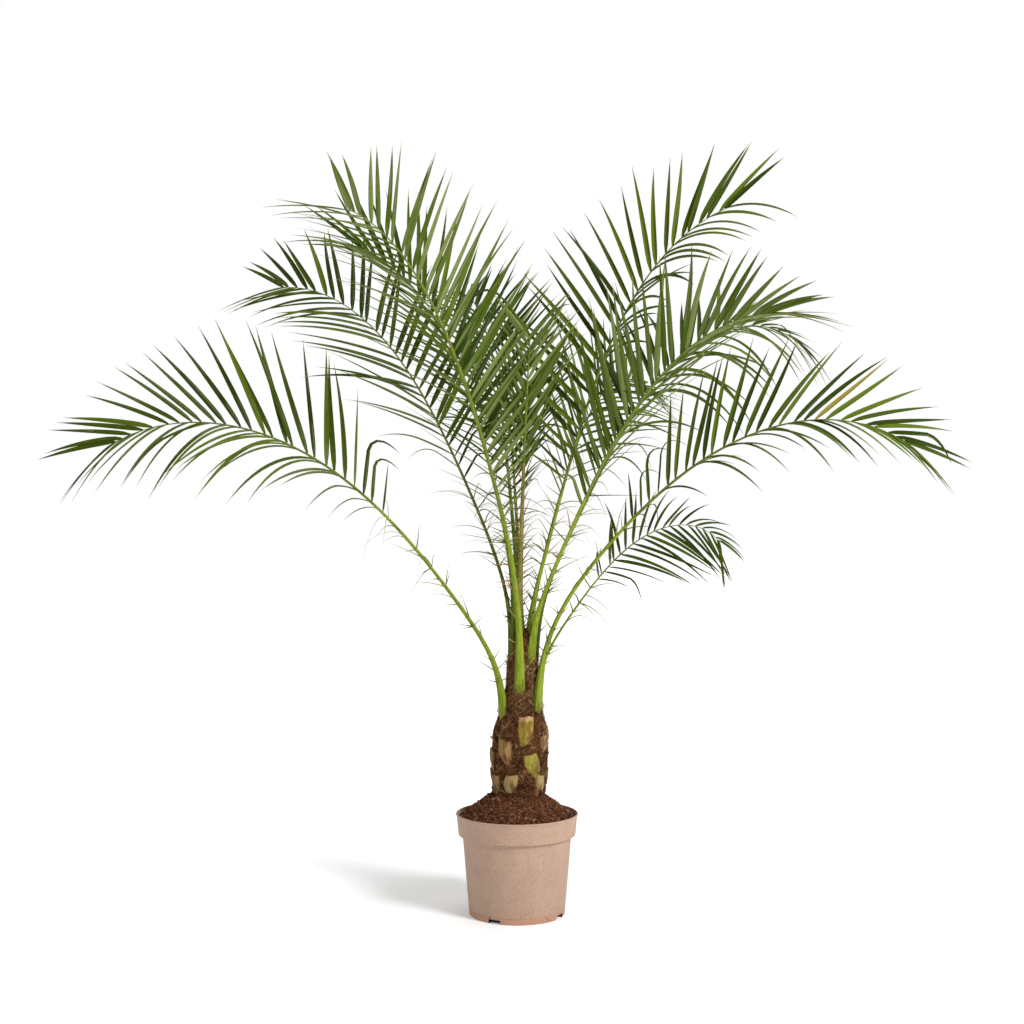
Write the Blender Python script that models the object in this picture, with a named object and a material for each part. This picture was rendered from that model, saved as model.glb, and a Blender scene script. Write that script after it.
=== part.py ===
"""A young pygmy date palm in a nursery pot, in metres with +Z up.

The origin is the middle of the pot's flat underside. The palm's fronds are named by where they reach as the
plant is seen from -Y, with +X to the right. Azimuths are degrees from +X, counterclockwise seen from above.
"""

import math
import random
from typing import NamedTuple

import bmesh
import bpy
from mathutils import Matrix, Vector
from mathutils.bvhtree import BVHTree

# Pot
POT_HEIGHT = 0.173
POT_FOOT_RADIUS = 0.082
POT_NECK_RADIUS = 0.0935
RIM_RADIUS = 0.105
RIM_FOOT_RADIUS = 0.1005
RIM_DROP = 0.037
POT_WALL = 0.0028
POT_FLOOR = 0.004
POT_EDGE = 0.0012
LIP_HEIGHT = 0.003
LIP_PROUD = 0.0008
POT_SIDES = 40
NOTCH_WIDTH = 0.022
NOTCH_HEIGHT = 0.0075
NOTCH_DEPTH = 0.010
NOTCH_COUNT = 4
NOTCH_FIRST = 242

# Soil
SEAT = 0.0003
SEAT_SLANT = 1.15
SOIL_EDGE = 0.166
# The mound's profile from the rim to the trunk: share of the way, and height
SOIL_MOUND = ((0.20, 0.173), (0.52, 0.183), (0.82, 0.197))
SEAT_MARGIN = 0.003
SOIL_ROUGHNESS = 0.0025

# Trunk, which leans a little to +X as it rises
TRUNK_FOOT = 0.2045
TRUNK_FOOT_X = 0.003
TRUNK_LEAN = 0.030
TRUNK_SIDES = 28
TRUNK_PROFILE = (
    (0.2045, 0.0445),
    (0.222, 0.0425),
    (0.248, 0.0440),
    (0.276, 0.0450),
    (0.304, 0.0435),
    (0.326, 0.0400),
    (0.345, 0.0335),
    (0.366, 0.0280),
    (0.392, 0.0245),
    (0.432, 0.0225),
    (0.470, 0.0195),
    (0.486, 0.0140),
)

SLEEVE_START = 0.36
RIDGES = 7
RIDGE_HEIGHT = 0.0011
RIDGE_TWIST = 90
RIDGE_FADE = 0.05
TOP_DOME = 0.004

# Cut leaf bases that face -Y: azimuth, height of the middle, width, length, how far the cut end stands out
LEAF_BASES = {
    "upper": (281, 0.318, 0.029, 0.052, 0.015),
    "lower_right": (299, 0.258, 0.031, 0.046, 0.011),
    "left": (236, 0.282, 0.027, 0.044, 0.011),
    "lower_left": (250, 0.229, 0.028, 0.032, 0.009),
    "right": (331, 0.294, 0.025, 0.030, 0.010),
    "foot_right": (322, 0.226, 0.024, 0.034, 0.009),
    "foot_left": (208, 0.226, 0.024, 0.032, 0.009),
}
BACK_TIERS = ((0.229, (12, 62, 112, 162)), (0.264, (36, 86, 136, 186)), (0.302, (14, 64, 112, 162)))
BACK_BASE_WIDTH = 0.029
BACK_BASE_LENGTH = 0.040
BACK_BASE_STANDOFF = 0.009
# Rows of a leaf base from its foot to its cut end: share of its length, of its width and of its standoff
BASE_ROWS = ((-0.50, 0.30, 0.10), (0.10, 1.00, 0.85), (0.50, 0.72, 0.90))
# Across each row: share of the half width, and share of the row's standoff
BASE_FACE = ((-1, 0.25), (-0.55, 1.0), (0.55, 1.0), (1, 0.25))
BASE_BACK = (0.9, -0.9)
BASE_SUNK = 0.010


class Frond(NamedTuple):
    """One frond's values: lengths in metres, angles in degrees, and shares of the rib's length."""

    azimuth: float
    length: float
    foot_azimuth: float
    foot_height: float
    foot_distance: float
    lean_foot: float
    lean_stalk: float
    lean_tip: float
    bend_late: float
    splay_share: float
    blade_start: float
    leaflet_size: float
    roll: float
    lift: float
    spread: float = 1.0
    droop: float = 0.42
    tip_angle: float = 20


FRONDS = {
    "low_left": Frond(187, 0.90, 205, 0.345, 0.034, 2, 34, 120, 2.6, 0.10, 0.45, 1.00, 40, 32, 1.0, 0.60, 24),
    "low_right": Frond(345, 0.87, 330, 0.355, 0.031, 4, 38, 124, 3.0, 0.18, 0.42, 0.80, -38, 36),
    "short_right": Frond(
        10, 0.49, 5, 0.372, 0.029, 4, 35, 140, 4.0, 0.15, 0.46, 0.66, -50, -20, 1.0, 0.30, 40,
    ),
    "upper_left_front": Frond(
        240, 0.94, 258, 0.392, 0.023, -2, 26, 85, 3.6, 0.20, 0.30, 0.94, -26, 38, 1.14, 0.16, 26,
    ),
    "upper_left_back": Frond(
        178, 0.78, 207, 0.440, 0.020, -2, 12, 66, 4.0, 0.20, 0.40, 1.00, 40, 34, 1.0, 0.25, 22,
    ),
    "left_back": Frond(160, 0.86, 160, 0.430, 0.020, 0, 24, 90, 4.0, 0.16, 0.38, 0.94, 44, 22, 1.0, 0.22, 36),
    "upper_right": Frond(
        345, 0.84, 335, 0.455, 0.010, 2, 15, 68, 4.0, 0.08, 0.34, 0.95, -52, 36, 1.18, 0.45, 20,
    ),
    "right_back": Frond(
        20, 0.86, 12, 0.430, 0.021, 4, 27, 120, 4.2, 0.14, 0.40, 0.95, -17, 14, 1.0, 1.00, 28,
    ),
    "right_front": Frond(
        314, 0.78, 312, 0.440, 0.021, 5, 30, 92, 3.2, 0.10, 0.36, 0.95, 22, 38, 0.80, 0.20, 18,
    ),
    "centre": Frond(277, 0.53, 215, 0.470, 0.008, 0, 9, 27, 1.6, 0.10, 0.55, 0.72, 0, 10, 0.50, 0.42, 74),
    "back": Frond(94, 0.80, 95, 0.440, 0.021, 5, 34, 112, 3.0, 0.10, 0.40, 0.90, 10, 30),
    "back_right": Frond(64, 0.80, 60, 0.440, 0.021, 5, 30, 104, 3.0, 0.10, 0.38, 0.90, -40, 34),
    "back_left": Frond(106, 0.78, 112, 0.450, 0.012, 2, 16, 70, 3.0, 0.10, 0.36, 0.90, 12, 30, 1.0, 0.30),
}
RIB_STEPS = 16
RIB_SIDES = 3
RIB_FOOT_RADIUS = 0.0075
RIB_STALK_RADIUS = 0.0042
RIB_TIP_RADIUS = 0.0010
FOOT_SWELLING = 0.10
RIB_THINS_LATE = 0.9
RIB_FLATNESS = 0.85
SMALL_FROND_RIB = 0.65

# Leaflets
LEAFLET_SPACING = 0.040
SPACED_FOR_LENGTH = 0.90
SPACING_KEPT = 0.4
LEAFLET_LENGTH = 0.238
LEAFLET_WIDTH = 0.0140
LEAFLET_KEEL = 0.0028
LEAFLET_BELLY = 0.36
LONGEST_AT = 0.33
LENGTH_AT_START = 0.34
LENGTH_LOST_TO_TIP = 0.40
LENGTH_FALLS_LATE = 1.3
LIFT_LOST_TO_TIP = 0.4
ROOT_WIDTH = 0.8
ROOT_DEPTH = 0.6
SMALL_FROND_LEAFLET = 0.55
STIFF_DROOP = 0.10
STEEP_HOLDS = 0.6
ANGLE_AT_START = 53
ANGLE_TURNED_DOWN = 0.90
ANGLE_CLOSES_LATE = 3.0
CLEARANCE = 0.0006
# A leaflet that would meet another frond's is tried at these turns before it is left out.
NUDGES = (0, 9, -9, 18, -18)
# A leaflet's seven points are its root, its belly and its tip.
LEAFLET_FACES = ((0, 1, 2), (0, 3, 4, 1), (1, 4, 5, 2), (2, 5, 3, 0), (3, 6, 4), (4, 6, 5), (5, 6, 3))


def material(name, colour, roughness):
    """A plain Principled BSDF material."""
    made = bpy.data.materials.new(name)
    made.use_nodes = True
    shader = made.node_tree.nodes["Principled BSDF"]
    shader.inputs["Base Color"].default_value = (*colour, 1)
    shader.inputs["Roughness"].default_value = roughness
    return made


def object_from(name, points, faces, surface):
    """A linked mesh object whose faces point outwards."""
    mesh = bpy.data.meshes.new(name)
    mesh.from_pydata(points, [], faces)
    work = bmesh.new()
    work.from_mesh(mesh)
    bmesh.ops.recalc_face_normals(work, faces=work.faces)
    work.to_mesh(mesh)
    work.free()
    mesh.materials.append(surface)
    made = bpy.data.objects.new(name, mesh)
    bpy.context.scene.collection.objects.link(made)
    return made


def boolean(target, operation, cutter=None, collection=None, solver="EXACT"):
    """Applies one Boolean to the target and removes what it was made with."""
    step = target.modifiers.new(operation.title(), "BOOLEAN")
    step.operation = operation
    step.solver = solver
    if collection:
        step.operand_type = "COLLECTION"
        step.collection = collection
    else:
        step.object = cutter
    bpy.context.view_layer.objects.active = target
    bpy.ops.object.modifier_apply(modifier=step.name)
    for used in list(collection.objects) if collection else [cutter]:
        bpy.data.objects.remove(used)
    if collection:
        bpy.data.collections.remove(collection)


def lathe(profile, sides, centre=lambda height: (0.0, 0.0), ripple=lambda angle, height: 0.0):
    """Points and triangles of a closed turned body. The profile runs from a point on the axis to another."""
    points = []
    rings = []
    for radius, height in profile:
        x, y = centre(height)
        if radius == 0:
            rings.append([len(points)])
            points.append((x, y, height))
            continue
        ring = []
        for k in range(sides):
            angle = math.tau * k / sides
            reach = radius + ripple(angle, height)
            ring.append(len(points))
            points.append((x + reach * math.cos(angle), y + reach * math.sin(angle), height))
        rings.append(ring)
    faces = []
    for low, high in zip(rings, rings[1:]):
        for k in range(sides):
            after = (k + 1) % sides
            if len(low) == 1:
                faces.append((low[0], high[k], high[after]))
            elif len(high) == 1:
                faces.append((low[k], low[after], high[0]))
            else:
                faces.append((low[k], low[after], high[after]))
                faces.append((low[k], high[after], high[k]))
    return points, faces


def make_pot(surface):
    """A tapered pot with a standing rim band and drain notches at the foot."""
    neck = POT_HEIGHT - RIM_DROP
    inside = RIM_RADIUS - POT_WALL
    profile = (
        (0, 0),
        (POT_FOOT_RADIUS - POT_EDGE, 0),
        (POT_FOOT_RADIUS, POT_EDGE),
        (POT_NECK_RADIUS, neck),
        (RIM_FOOT_RADIUS, neck + POT_EDGE),
        (RIM_RADIUS - LIP_PROUD, POT_HEIGHT - LIP_HEIGHT),
        (RIM_RADIUS, POT_HEIGHT - LIP_HEIGHT + LIP_PROUD),
        (RIM_RADIUS, POT_HEIGHT - LIP_PROUD),
        (RIM_RADIUS - LIP_PROUD, POT_HEIGHT),
        (inside, POT_HEIGHT),
        (RIM_FOOT_RADIUS - POT_WALL, neck + POT_WALL),
        (POT_NECK_RADIUS - POT_WALL, neck),
        (POT_FOOT_RADIUS - POT_WALL, POT_FLOOR),
        (0, POT_FLOOR),
    )
    pot = object_from("pot", *lathe(profile, POT_SIDES), surface)
    cutters = bpy.data.collections.new("drain notches")
    bpy.context.scene.collection.children.link(cutters)
    for k in range(NOTCH_COUNT):
        angle = math.radians(NOTCH_FIRST + 360 / NOTCH_COUNT * k)
        bpy.ops.mesh.primitive_cube_add(size=1)
        notch = bpy.context.object
        notch.dimensions = (2 * NOTCH_DEPTH, NOTCH_WIDTH, 2 * NOTCH_HEIGHT)
        notch.location = (POT_FOOT_RADIUS * math.cos(angle), POT_FOOT_RADIUS * math.sin(angle), 0)
        notch.rotation_euler.z = angle
        bpy.ops.object.transform_apply(location=True, rotation=True, scale=True)
        for home in list(notch.users_collection):
            home.objects.unlink(notch)
        cutters.objects.link(notch)
    boolean(pot, "DIFFERENCE", collection=cutters)


def make_soil(surface):
    """Peat that fills the pot and mounds up to a flat seat under the trunk."""
    inner = POT_WALL + SEAT
    neck = POT_HEIGHT - RIM_DROP
    seat = TRUNK_PROFILE[0][1] + TRUNK_FOOT_X + SEAT_MARGIN
    rise = (SOIL_EDGE - neck - inner) / (POT_HEIGHT - LIP_HEIGHT - neck - POT_EDGE)
    edge = RIM_FOOT_RADIUS + (RIM_RADIUS - LIP_PROUD - RIM_FOOT_RADIUS) * rise - inner
    profile = (
        (0, POT_FLOOR + SEAT),
        (POT_FOOT_RADIUS - inner, POT_FLOOR + SEAT),
        (POT_NECK_RADIUS - inner, neck),
        (RIM_FOOT_RADIUS - inner, neck + inner),
        (edge - SEAT, SOIL_EDGE),
        *((edge + (seat - edge) * share, height) for share, height in SOIL_MOUND),
        (seat, TRUNK_FOOT - SEAT),
        (0, TRUNK_FOOT - SEAT),
    )
    rough = random.Random(4)
    points, faces = lathe(profile, POT_SIDES)
    # Only the open surface between the wall and the seat is uneven.
    uneven = []
    for x, y, z in points:
        radius = math.hypot(x, y)
        loose = seat + SEAT < radius and z > SOIL_EDGE + SEAT
        uneven.append((x, y, z + rough.uniform(-1, 1) * SOIL_ROUGHNESS * loose))
    object_from("soil", uneven, faces, surface)


def trunk_centre(height):
    return TRUNK_FOOT_X + TRUNK_LEAN * (height - TRUNK_FOOT), 0.0


def trunk_radius(height):
    """The trunk's radius at a height, from its profile."""
    for (low, before), (high, after) in zip(TRUNK_PROFILE, TRUNK_PROFILE[1:]):
        if height <= high:
            return before + (after - before) * (height - low) / (high - low)
    return TRUNK_PROFILE[-1][1]


def trunk_ripple(angle, height):
    """Low ridges that the old leaf bases leave, in a spiral that fades out at the fibre sleeve."""
    fade = max(0.0, min(1.0, (SLEEVE_START - height) / RIDGE_FADE))
    return RIDGE_HEIGHT * fade * math.cos(RIDGES * angle + RIDGE_TWIST * height)


def trunk_body(name, surface, grown=0.0):
    """The trunk, or with grown above 0 a cutter that leaves this gap all round it."""
    foot = TRUNK_FOOT - 3 * grown
    (_, foot_radius), *middle, (top, top_radius) = TRUNK_PROFILE
    profile = [(0, foot), (foot_radius + grown, foot)]
    for height, radius in middle:
        profile.append((radius + grown, height))
    profile.append((top_radius + grown, top + grown))
    profile.append((0, top + TOP_DOME + grown))
    return object_from(name, *lathe(profile, TRUNK_SIDES, trunk_centre, trunk_ripple), surface)


def seat_on_trunk(piece, surface):
    """Cuts away what would reach into the trunk, and leaves a gap to it."""
    boolean(piece, "DIFFERENCE", cutter=trunk_body("trunk cutter", surface, grown=SEAT * SEAT_SLANT))


def make_leaf_base(name, azimuth, height, width, length, standoff, surface):
    """The cut foot of an old leaf: a shield that stands out to a slanting cut at its upper end."""
    outward = Vector((math.cos(math.radians(azimuth)), math.sin(math.radians(azimuth)), 0))
    along = outward.cross(Vector((0, 0, 1)))
    x, y = trunk_centre(height)
    points = []
    for rise, breadth, depth in BASE_ROWS:
        level = height + rise * length
        middle = Vector((x, y, level))
        skin = trunk_radius(level)
        half = breadth * width / 2
        for side, share in BASE_FACE:
            points.append(middle + outward * (skin + depth * share * standoff) + along * side * half)
        for side in BASE_BACK:
            points.append(middle + outward * (skin - BASE_SUNK) + along * side * half)
    ring = len(BASE_FACE) + len(BASE_BACK)
    faces = [tuple(range(ring)), tuple(range(len(points) - ring, len(points)))]
    for low in range(0, len(points) - ring, ring):
        for k in range(ring):
            after = (k + 1) % ring
            faces.append((low + k, low + after, low + ring + after, low + ring + k))
    piece = object_from(name, points, faces, surface)
    seat_on_trunk(piece, surface)


def rib_stations(frond):
    """Points, directions and upper normals along a frond's rib, from its foot to its tip."""
    azimuth = math.radians(frond.azimuth)
    outward = Vector((math.cos(azimuth), math.sin(azimuth), 0))
    x, y = trunk_centre(frond.foot_height)
    foot = math.radians(frond.foot_azimuth)
    aside = Vector((math.cos(foot), math.sin(foot), 0)) * frond.foot_distance
    point = Vector((x, y, frond.foot_height)) + aside
    stations = []
    for k in range(RIB_STEPS + 1):
        share = k / RIB_STEPS
        splay = 1 - math.exp(-((share / frond.splay_share) ** 2))
        stalk = frond.lean_foot + (frond.lean_stalk - frond.lean_foot) * splay
        lean = math.radians(stalk + (frond.lean_tip - frond.lean_stalk) * share**frond.bend_late)
        tangent = outward * math.sin(lean) + Vector((0, 0, 1)) * math.cos(lean)
        normal = Vector((0, 0, 1)) * math.sin(lean) - outward * math.cos(lean)
        if stations:
            point = point + (stations[-1][1] + tangent).normalized() * frond.length / RIB_STEPS
        stations.append((point, tangent, normal))
    return stations


def along_rib(stations, share):
    """The rib's point, direction and normal at a share of its length."""
    place = min(share, 0.9999) * RIB_STEPS
    first = int(place)
    blend = place - first
    return [a.lerp(b, blend) for a, b in zip(stations[first], stations[first + 1])]


def rib_radius(share, size):
    """A swollen foot, then a stalk that thins to the tip."""
    swelling = (RIB_FOOT_RADIUS - RIB_STALK_RADIUS) * math.exp(-((share / FOOT_SWELLING) ** 2))
    thinning = RIB_STALK_RADIUS - (RIB_STALK_RADIUS - RIB_TIP_RADIUS) * share**RIB_THINS_LATE
    return (swelling + thinning) * (SMALL_FROND_RIB + (1 - SMALL_FROND_RIB) * size)


def make_rib(name, stations, frond, surface):
    """The frond's stalk and rib as one tapering tube."""
    points = []
    for k, (point, tangent, normal) in enumerate(stations):
        radius = rib_radius(k / RIB_STEPS, frond.leaflet_size)
        across = tangent.cross(normal)
        for side in range(RIB_SIDES):
            angle = math.tau * (side + 0.25) / RIB_SIDES
            reach = across * math.cos(angle) + normal * RIB_FLATNESS * math.sin(angle)
            points.append(point + reach * radius)
    faces = []
    for k in range(RIB_STEPS):
        for side in range(RIB_SIDES):
            after = (side + 1) % RIB_SIDES
            low = k * RIB_SIDES
            high = low + RIB_SIDES
            faces.append((low + side, low + after, high + after, high + side))
    faces.append(tuple(range(RIB_SIDES)))
    faces.append(tuple(range(RIB_STEPS * RIB_SIDES, (RIB_STEPS + 1) * RIB_SIDES)))
    return object_from(name, points, faces, surface)


def leaflet_length(place, size):
    """Leaflets are longest a third of the way along the blade."""
    rise = LENGTH_AT_START + (1 - LENGTH_AT_START) * math.sin(math.pi / 2 * min(place / LONGEST_AT, 1))
    past = max(0.0, (place - LONGEST_AT) / (1 - LONGEST_AT))
    fall = 1 - LENGTH_LOST_TO_TIP * past**LENGTH_FALLS_LATE
    return LEAFLET_LENGTH * size * rise * fall


def leaflet_points(station, radius, place, side, frond, nudge, grown=0.0):
    """Seven points of a keeled blade: three at its root inside the rib, three at its belly, and its tip."""
    point, tangent, normal = station
    turn = Matrix.Rotation(math.radians(-frond.roll), 3, tangent)
    across = turn @ tangent.cross(normal).normalized()
    face = turn @ normal.normalized()
    turned_down = side * frond.roll < 0 < frond.lift
    closed = place**ANGLE_CLOSES_LATE
    angle = math.radians(ANGLE_AT_START + (frond.tip_angle - ANGLE_AT_START) * closed) * frond.spread
    if turned_down:
        angle *= ANGLE_TURNED_DOWN
    lift = math.radians(frond.lift * (1 - LIFT_LOST_TO_TIP * place) + nudge)
    aside = across * side * math.cos(lift) + face * math.sin(lift)
    own_face = face * math.cos(lift) - across * side * math.sin(lift)
    heading = (tangent * math.cos(angle) + aside * math.sin(angle)).normalized()
    breadth = heading.cross(own_face).normalized()
    keel = heading.cross(breadth).normalized()
    if keel.dot(own_face) > 0:
        keel = -keel
    length = leaflet_length(place, frond.leaflet_size)
    sag = frond.droop if turned_down or frond.lift < 0 else STIFF_DROOP
    droop = Vector((0, 0, -1)) * sag * length * (1 - abs(heading.z) * STEEP_HOLDS)
    belly = point + heading * length * LEAFLET_BELLY
    tip = point + heading * length + droop
    points = []
    stout = SMALL_FROND_LEAFLET + (1 - SMALL_FROND_LEAFLET) * frond.leaflet_size
    root = (point, radius * ROOT_WIDTH, radius * ROOT_DEPTH)
    sections = (root, (belly, LEAFLET_WIDTH / 2 * stout, LEAFLET_KEEL * stout))
    for middle, half, deep in sections:
        half += grown
        points.append(middle + breadth * half - keel * grown)
        points.append(middle - breadth * half - keel * grown)
        points.append(middle + keel * (deep + grown))
    points.append(tip + heading * grown)
    return points


def box_of(points):
    """The lowest and highest corners of the points' box."""
    low = [min(p[axis] for p in points) for axis in range(3)]
    high = [max(p[axis] for p in points) for axis in range(3)]
    return low, high


def boxes_meet(one, other):
    return all(one[0][axis] <= other[1][axis] and other[0][axis] <= one[1][axis] for axis in range(3))


def rib_tree(rib):
    points = [vertex.co.copy() for vertex in rib.data.vertices]
    faces = [tuple(face.vertices) for face in rib.data.polygons]
    return box_of(points), BVHTree.FromPolygons(points, faces)


def grow_leaflets(ribs, stations, surface):
    """Leaflets for every frond in turn, so that where blades cross, none loses all of them."""
    taken = {name: [rib_tree(rib)] for name, rib in ribs.items()}
    grown = {name: [] for name in FRONDS}
    most = 0
    places = {}
    for name, frond in FRONDS.items():
        spacing = LEAFLET_SPACING * (SPACING_KEPT + (1 - SPACING_KEPT) * frond.length / SPACED_FOR_LENGTH)
        count = round(frond.length * (1 - frond.blade_start) / spacing)
        places[name] = [(k + 0.5) / count for k in range(count)] + [1.0]
        most = max(most, count + 1)
    for k in range(most):
        for name, frond in FRONDS.items():
            if k >= len(places[name]):
                continue
            place = places[name][-1 - k]
            for side in (-1, 1):
                along = place - 0.25 * (1 + side) / len(places[name])
                share = frond.blade_start + (1 - frond.blade_start) * along
                station = along_rib(stations[name], share)
                radius = rib_radius(share, frond.leaflet_size)
                for nudge in NUDGES:
                    wide = leaflet_points(station, radius, place, side, frond, nudge, CLEARANCE)
                    box = box_of(wide)
                    tree = BVHTree.FromPolygons(wide, LEAFLET_FACES)
                    others = (t for other in FRONDS if other != name for t in taken[other])
                    if any(boxes_meet(box, found[0]) and tree.overlap(found[1]) for found in others):
                        continue
                    taken[name].append((box, tree))
                    grown[name].append(leaflet_points(station, radius, place, side, frond, nudge))
                    break
    for name, leaflets in grown.items():
        blade = bpy.data.collections.new(name + " leaflets")
        bpy.context.scene.collection.children.link(blade)
        for points in leaflets:
            leaflet = object_from("leaflet", points, LEAFLET_FACES, surface)
            bpy.context.scene.collection.objects.unlink(leaflet)
            blade.objects.link(leaflet)
        boolean(ribs[name], "UNION", collection=blade, solver="MANIFOLD")


for leftover in list(bpy.data.objects):
    bpy.data.objects.remove(leftover)

make_pot(material("pot plastic", (0.55, 0.36, 0.27), 0.6))
make_soil(material("peat", (0.07, 0.035, 0.022), 0.95))
trunk_body("trunk", material("trunk fibre", (0.14, 0.065, 0.035), 0.9))

stub = material("cut leaf base", (0.34, 0.34, 0.10), 0.7)
for label, size_and_place in LEAF_BASES.items():
    make_leaf_base("leaf_base_" + label, *size_and_place, stub)
for tier, (level, azimuths) in enumerate(BACK_TIERS, 1):
    for number, azimuth in enumerate(azimuths, 1):
        name = f"leaf_base_back_{tier}_{number}"
        make_leaf_base(name, azimuth, level, BACK_BASE_WIDTH, BACK_BASE_LENGTH, BACK_BASE_STANDOFF, stub)

green = material("frond", (0.09, 0.19, 0.035), 0.5)
rib_lines = {name: rib_stations(frond) for name, frond in FRONDS.items()}
stalks = {}
for name, frond in FRONDS.items():
    stalks[name] = make_rib("frond_" + name, rib_lines[name], frond, green)
    seat_on_trunk(stalks[name], green)
grow_leaflets(stalks, rib_lines, green)
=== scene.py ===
import math
import random
from typing import NamedTuple

import bmesh
import bpy
import numpy as np
from mathutils import Matrix, Vector, noise


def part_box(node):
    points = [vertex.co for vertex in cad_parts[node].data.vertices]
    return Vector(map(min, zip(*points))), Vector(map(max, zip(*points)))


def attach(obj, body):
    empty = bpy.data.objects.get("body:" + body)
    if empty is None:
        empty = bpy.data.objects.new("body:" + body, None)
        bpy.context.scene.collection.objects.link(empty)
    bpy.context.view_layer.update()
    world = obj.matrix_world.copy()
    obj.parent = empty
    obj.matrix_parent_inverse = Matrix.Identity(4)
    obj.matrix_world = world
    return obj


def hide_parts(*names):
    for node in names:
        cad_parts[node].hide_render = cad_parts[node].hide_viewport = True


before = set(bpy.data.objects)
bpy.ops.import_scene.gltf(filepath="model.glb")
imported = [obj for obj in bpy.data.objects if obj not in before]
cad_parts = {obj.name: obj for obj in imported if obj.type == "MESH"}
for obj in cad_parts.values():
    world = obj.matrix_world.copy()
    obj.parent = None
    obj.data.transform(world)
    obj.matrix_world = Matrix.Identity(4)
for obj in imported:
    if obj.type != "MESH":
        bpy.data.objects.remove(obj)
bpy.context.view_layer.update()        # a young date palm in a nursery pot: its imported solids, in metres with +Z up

# The photograph's view
# The camera stands 2.6 m in front of the pot, level with the middle of the crown. Azimuths below are degrees
# from +X, counterclockwise seen from above, so that 270 faces the camera.
lens = bpy.data.cameras.new("camera")
lens.lens = 53.1
camera = bpy.data.objects.new("camera", lens)
camera.location = (-0.0086, -2.6, 0.690)
camera.rotation_euler = (math.radians(90), 0, 0)
bpy.context.scene.collection.objects.link(camera)
bpy.context.scene.camera = camera
bpy.context.scene.view_settings.view_transform = "Standard"

# Nursery pot
# It is moulded from recycled plastic, so it is matte and full of fine specks. A thin lip, a standing rim band
# and a foot ring stiffen the wall, and four notches through the foot let water out.
pot_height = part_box("pot")[1][2]
rim_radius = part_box("pot")[1][0]
band_height = 0.037
wall = 0.0028
neck_radius = 0.0935
foot_radius = 0.082
foot_ring = 0.0105
neck = pot_height - band_height
pot_profile = (
    (foot_radius - 0.0016, 0.0),
    (foot_radius, 0.0012),
    (foot_radius + 0.0008, foot_ring - 0.0006),
    (foot_radius + 0.0002, foot_ring),
    (foot_radius + 0.0010, foot_ring + 0.0008),
    (neck_radius, neck - 0.0006),
    (neck_radius + 0.0006, neck),
    (rim_radius - 0.0049, neck + 0.0006),
    (rim_radius - 0.0042, neck + 0.0016),
    (rim_radius - 0.0012, pot_height - 0.0034),
    (rim_radius, pot_height - 0.0026),
    (rim_radius, pot_height - 0.0008),
    (rim_radius - 0.0007, pot_height),
    (rim_radius - 0.0021, pot_height),
    (rim_radius - 0.0028, pot_height - 0.0008),
    (rim_radius - 0.0042 - wall, neck + wall),
    (neck_radius - wall, neck),
    (foot_radius - wall, 0.0055),
)
notch_size = (0.020, 0.022, 0.015)
notch_azimuths = (242, 332, 62, 152)


def turned(name, profile, sides):
    """A closed body of revolution, made by extruding a ring up along its profile."""
    bpy.ops.object.select_all(action="DESELECT")
    (radius, height), *rest = profile
    bpy.ops.mesh.primitive_circle_add(vertices=sides, radius=radius, location=(0, 0, height))
    made = bpy.context.object
    made.name = name
    bpy.ops.object.transform_apply(location=True, rotation=True, scale=True)
    bpy.ops.object.mode_set(mode="EDIT")
    bpy.ops.mesh.select_mode(type="VERT")
    bpy.ops.mesh.select_all(action="SELECT")
    for next_radius, next_height in rest:
        bpy.ops.mesh.extrude_region_move(TRANSFORM_OT_translate={"value": (0, 0, next_height - height)})
        share = next_radius / radius
        bpy.ops.transform.resize(value=(share, share, 1), center_override=(0, 0, next_height))
        radius, height = next_radius, next_height
    bpy.ops.mesh.edge_face_add()
    bpy.ops.mesh.select_all(action="DESELECT")
    bpy.ops.mesh.select_non_manifold()
    bpy.ops.mesh.edge_face_add()
    bpy.ops.mesh.select_all(action="SELECT")
    bpy.ops.mesh.normals_make_consistent(inside=False)
    bpy.ops.object.mode_set(mode="OBJECT")
    return made


def applied(piece, kind, **settings):
    """A modifier with these settings, applied to a piece."""
    modifier = piece.modifiers.new(kind.lower(), kind)
    for key, value in settings.items():
        setattr(modifier, key, value)
    bpy.context.view_layer.objects.active = piece
    bpy.ops.object.modifier_apply(modifier=modifier.name)


def put(tree, kind, inputs=(), **settings):
    """A node with its settings, whose inputs are linked to sockets or set to values."""
    node = tree.nodes.new(kind)
    for key, value in settings.items():
        setattr(node, key, value)
    for key, value in dict(inputs).items():
        if isinstance(value, bpy.types.NodeSocket):
            tree.links.new(value, node.inputs[key])
        else:
            node.inputs[key].default_value = value
    return node


def times(tree, one, other):
    """The product of two values, each a socket or a number."""
    return put(tree, "ShaderNodeMath", {0: one, 1: other}, operation="MULTIPLY").outputs[0]


def ramp(tree, value, start, end, low=0.0, high=1.0):
    """A value carried from the range start to end into the range low to high, and kept inside it."""
    ends = {"Value": value, "From Min": start, "From Max": end, "To Min": low, "To Max": high}
    return put(tree, "ShaderNodeMapRange", ends).outputs["Result"]


def effect(name, values):
    """An empty node group with a Vector input, float inputs with these values and one Mask output."""
    group = bpy.data.node_groups.new(name, "ShaderNodeTree")
    group.interface.new_socket(name="Vector", in_out="INPUT", socket_type="NodeSocketVector")
    for label, value in values.items():
        socket = group.interface.new_socket(name=label, in_out="INPUT", socket_type="NodeSocketFloat")
        socket.default_value = value
    group.interface.new_socket(name="Mask", in_out="OUTPUT", socket_type="NodeSocketFloat")
    return group, put(group, "NodeGroupInput").outputs, put(group, "NodeGroupOutput").inputs["Mask"]


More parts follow.
